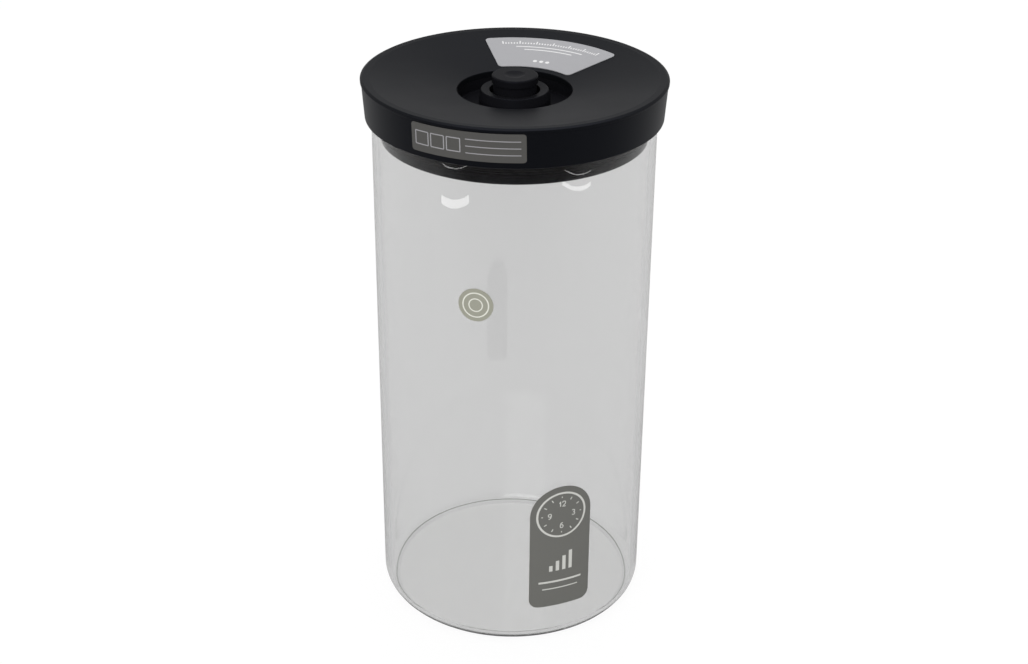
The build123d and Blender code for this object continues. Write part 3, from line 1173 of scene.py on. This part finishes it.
def ramp(tree, value, dark_end, bright_end, least=dark_share):
    """A share of the full light that grows along a value, from the dark end to the bright one."""
    shade = add(
        tree,
        "ShaderNodeMapRange",
        Value=value,
        From_Min=dark_end,
        From_Max=bright_end,
        To_Min=least,
        To_Max=1.0,
    )
    return shade.outputs[0]


def larger(tree, one, other):
    """The larger of two values."""
    return add(tree, "ShaderNodeMath", {"operation": "MAXIMUM"}, _0=one, _1=other).outputs[0]


def studio_sky():
    """White for the camera. Glass shows it white up to a little above the horizon, glossy things
    mirror a greyer backdrop behind the part, and both find the room dark overhead."""
    world = bpy.data.worlds.new("studio")
    world.use_nodes = True
    tree = world.node_tree
    tree.nodes.clear()
    place = add(tree, "ShaderNodeTexCoord").outputs["Generated"]
    light_path = add(tree, "ShaderNodeLightPath").outputs
    reach = add(tree, "ShaderNodeVectorMath", {"operation": "DOT_PRODUCT"}, _0=place, _1=backdrop_way)
    backdrop = ramp(tree, reach.outputs["Value"], backdrop_dark_reach, backdrop_bright_reach)
    mirrored = add(tree, "ShaderNodeMath", {"operation": "MULTIPLY"}, _0=backdrop, _1=mirrored_share)
    strength = add(
        tree,
        "ShaderNodeMix",
        _0=light_path["Is Glossy Ray"],
        _2=world_light,
        _3=mirrored.outputs[0],
    )
    axes = add(tree, "ShaderNodeSeparateXYZ", Vector=place)
    overhead = ramp(tree, axes.outputs["Z"], sky_dark_rise, sky_bright_rise)
    seen_strength = larger(tree, light_path["Is Camera Ray"], overhead)
    lit = add(tree, "ShaderNodeBackground", Color=linear("#FFFFFF"), Strength=strength.outputs[0])
    seen = add(tree, "ShaderNodeBackground", Color=linear("#FFFFFF"), Strength=seen_strength)
    seen_ray = larger(tree, light_path["Is Camera Ray"], light_path["Is Transmission Ray"])
    both = add(tree, "ShaderNodeMixShader", Fac=seen_ray, _1=lit.outputs[0], _2=seen.outputs[0])
    add(tree, "ShaderNodeOutputWorld", Surface=both.outputs[0])
    return world


def white_sweep():
    """Matt white board that a camera sees as white, also through glass, less a part of the
    shadow. What glossy things mirror of it gets darker towards the front, and what the inside of
    the glass mirrors of it gets greyer far out in front."""
    material, tree, output = new_material("white_sweep")
    place = add(tree, "ShaderNodeTexCoord")
    axes = add(tree, "ShaderNodeSeparateXYZ", Vector=place.outputs["Object"])
    light_path = add(tree, "ShaderNodeLightPath").outputs
    front = ramp(tree, axes.outputs["Y"], floor_dark_y, floor_bright_y)
    mirrored = add(tree, "ShaderNodeMath", {"operation": "MULTIPLY"}, _0=front, _1=mirrored_share)
    board = add(tree, "ShaderNodeBsdfDiffuse", Color=linear(board_colour))
    mirror_glow = add(tree, "ShaderNodeEmission", Strength=mirrored.outputs[0])
    lit = add(
        tree,
        "ShaderNodeMixShader",
        Fac=light_path["Is Glossy Ray"],
        _1=board.outputs[0],
        _2=mirror_glow.outputs[0],
    )
    pale = add(tree, "ShaderNodeBsdfDiffuse", Color=linear(seen_board_colour))
    far_front = ramp(tree, axes.outputs["Y"], fade_dark_y, fade_bright_y, fade_share)
    faded = add(tree, "ShaderNodeMath", {"operation": "MULTIPLY"}, _0=far_front, _1=floor_glow)
    strength = add(
        tree,
        "ShaderNodeMix",
        _0=light_path["Glossy Depth"],
        _2=floor_glow,
        _3=faded.outputs[0],
    )
    glow = add(tree, "ShaderNodeEmission", Strength=strength.outputs[0])
    seen = add(tree, "ShaderNodeAddShader", _0=pale.outputs[0], _1=glow.outputs[0])
    seen_ray = larger(tree, light_path["Is Camera Ray"], light_path["Is Transmission Ray"])
    both = add(tree, "ShaderNodeMixShader", Fac=seen_ray, _1=lit.outputs[0], _2=seen.outputs[0])
    tree.links.new(both.outputs[0], output.inputs["Surface"])
    return material


bpy.context.scene.world = studio_sky()

floor_mesh = bpy.data.meshes.new("floor")
floor_corners = [
    (-half_floor, -half_floor, -floor_gap),
    (half_floor, -half_floor, -floor_gap),
    (half_floor, half_floor, -floor_gap),
    (-half_floor, half_floor, -floor_gap),
]
floor_mesh.from_pydata(floor_corners, [], [(0, 1, 2, 3)])
floor_mesh.materials.append(white_sweep())
floor = bpy.data.objects.new("floor", floor_mesh)
bpy.context.scene.collection.objects.link(floor)


def soft_lamp(name, place, aim, width, height, power):
    """A rectangular light that faces the point it is aimed at."""
    data = bpy.data.lights.new(name, "AREA")
    data.shape = "RECTANGLE"
    data.size = width
    data.size_y = height
    data.energy = power
    lamp = bpy.data.objects.new(name, data)
    lamp.location = place
    lamp.rotation_mode = "QUATERNION"
    lamp.rotation_quaternion = (Vector(aim) - Vector(place)).to_track_quat("-Z", "Y")
    bpy.context.scene.collection.objects.link(lamp)
    return lamp


# Each lamp: name, place, the point it is aimed at, width and height, all in metres, and watts
soft_lamps = (
    ("top_light", (0.1, 0.35, 1.3), (0, 0, 0.1), 1.1, 0.8, 5),
    ("front_light", (-0.3, -1.2, 1.1), (0, 0, 0.1), 1.0, 0.8, 9),
)
glint_lamps = (
    ("left_strip", (-0.223, -0.23, 0.055), (-0.019, -0.045, 0.174), 0.125, 0.0044, 0.0095),
    ("left_line", (-0.221, -0.235, 0.073), (-0.0186, -0.0452, 0.1864), 0.12, 0.0006, 0.0011),
    ("right_strip", (0.236, -0.218, 0.063), (0.0203, -0.0445, 0.1805), 0.13, 0.0022, 0.0048),
    ("right_line", (0.239, -0.216, 0.07), (0.0205, -0.0444, 0.1847), 0.12, 0.0006, 0.0011),
)
for lamp_values in soft_lamps:
    soft_lamp(*lamp_values)

# The narrow lamps show only as glints in the glass, and not themselves
for lamp_values in glint_lamps:
    glint_lamp = soft_lamp(*lamp_values)
    glint_lamp.visible_camera = False
    glint_lamp.visible_transmission = False

bpy.context.scene.view_settings.view_transform = "Standard"
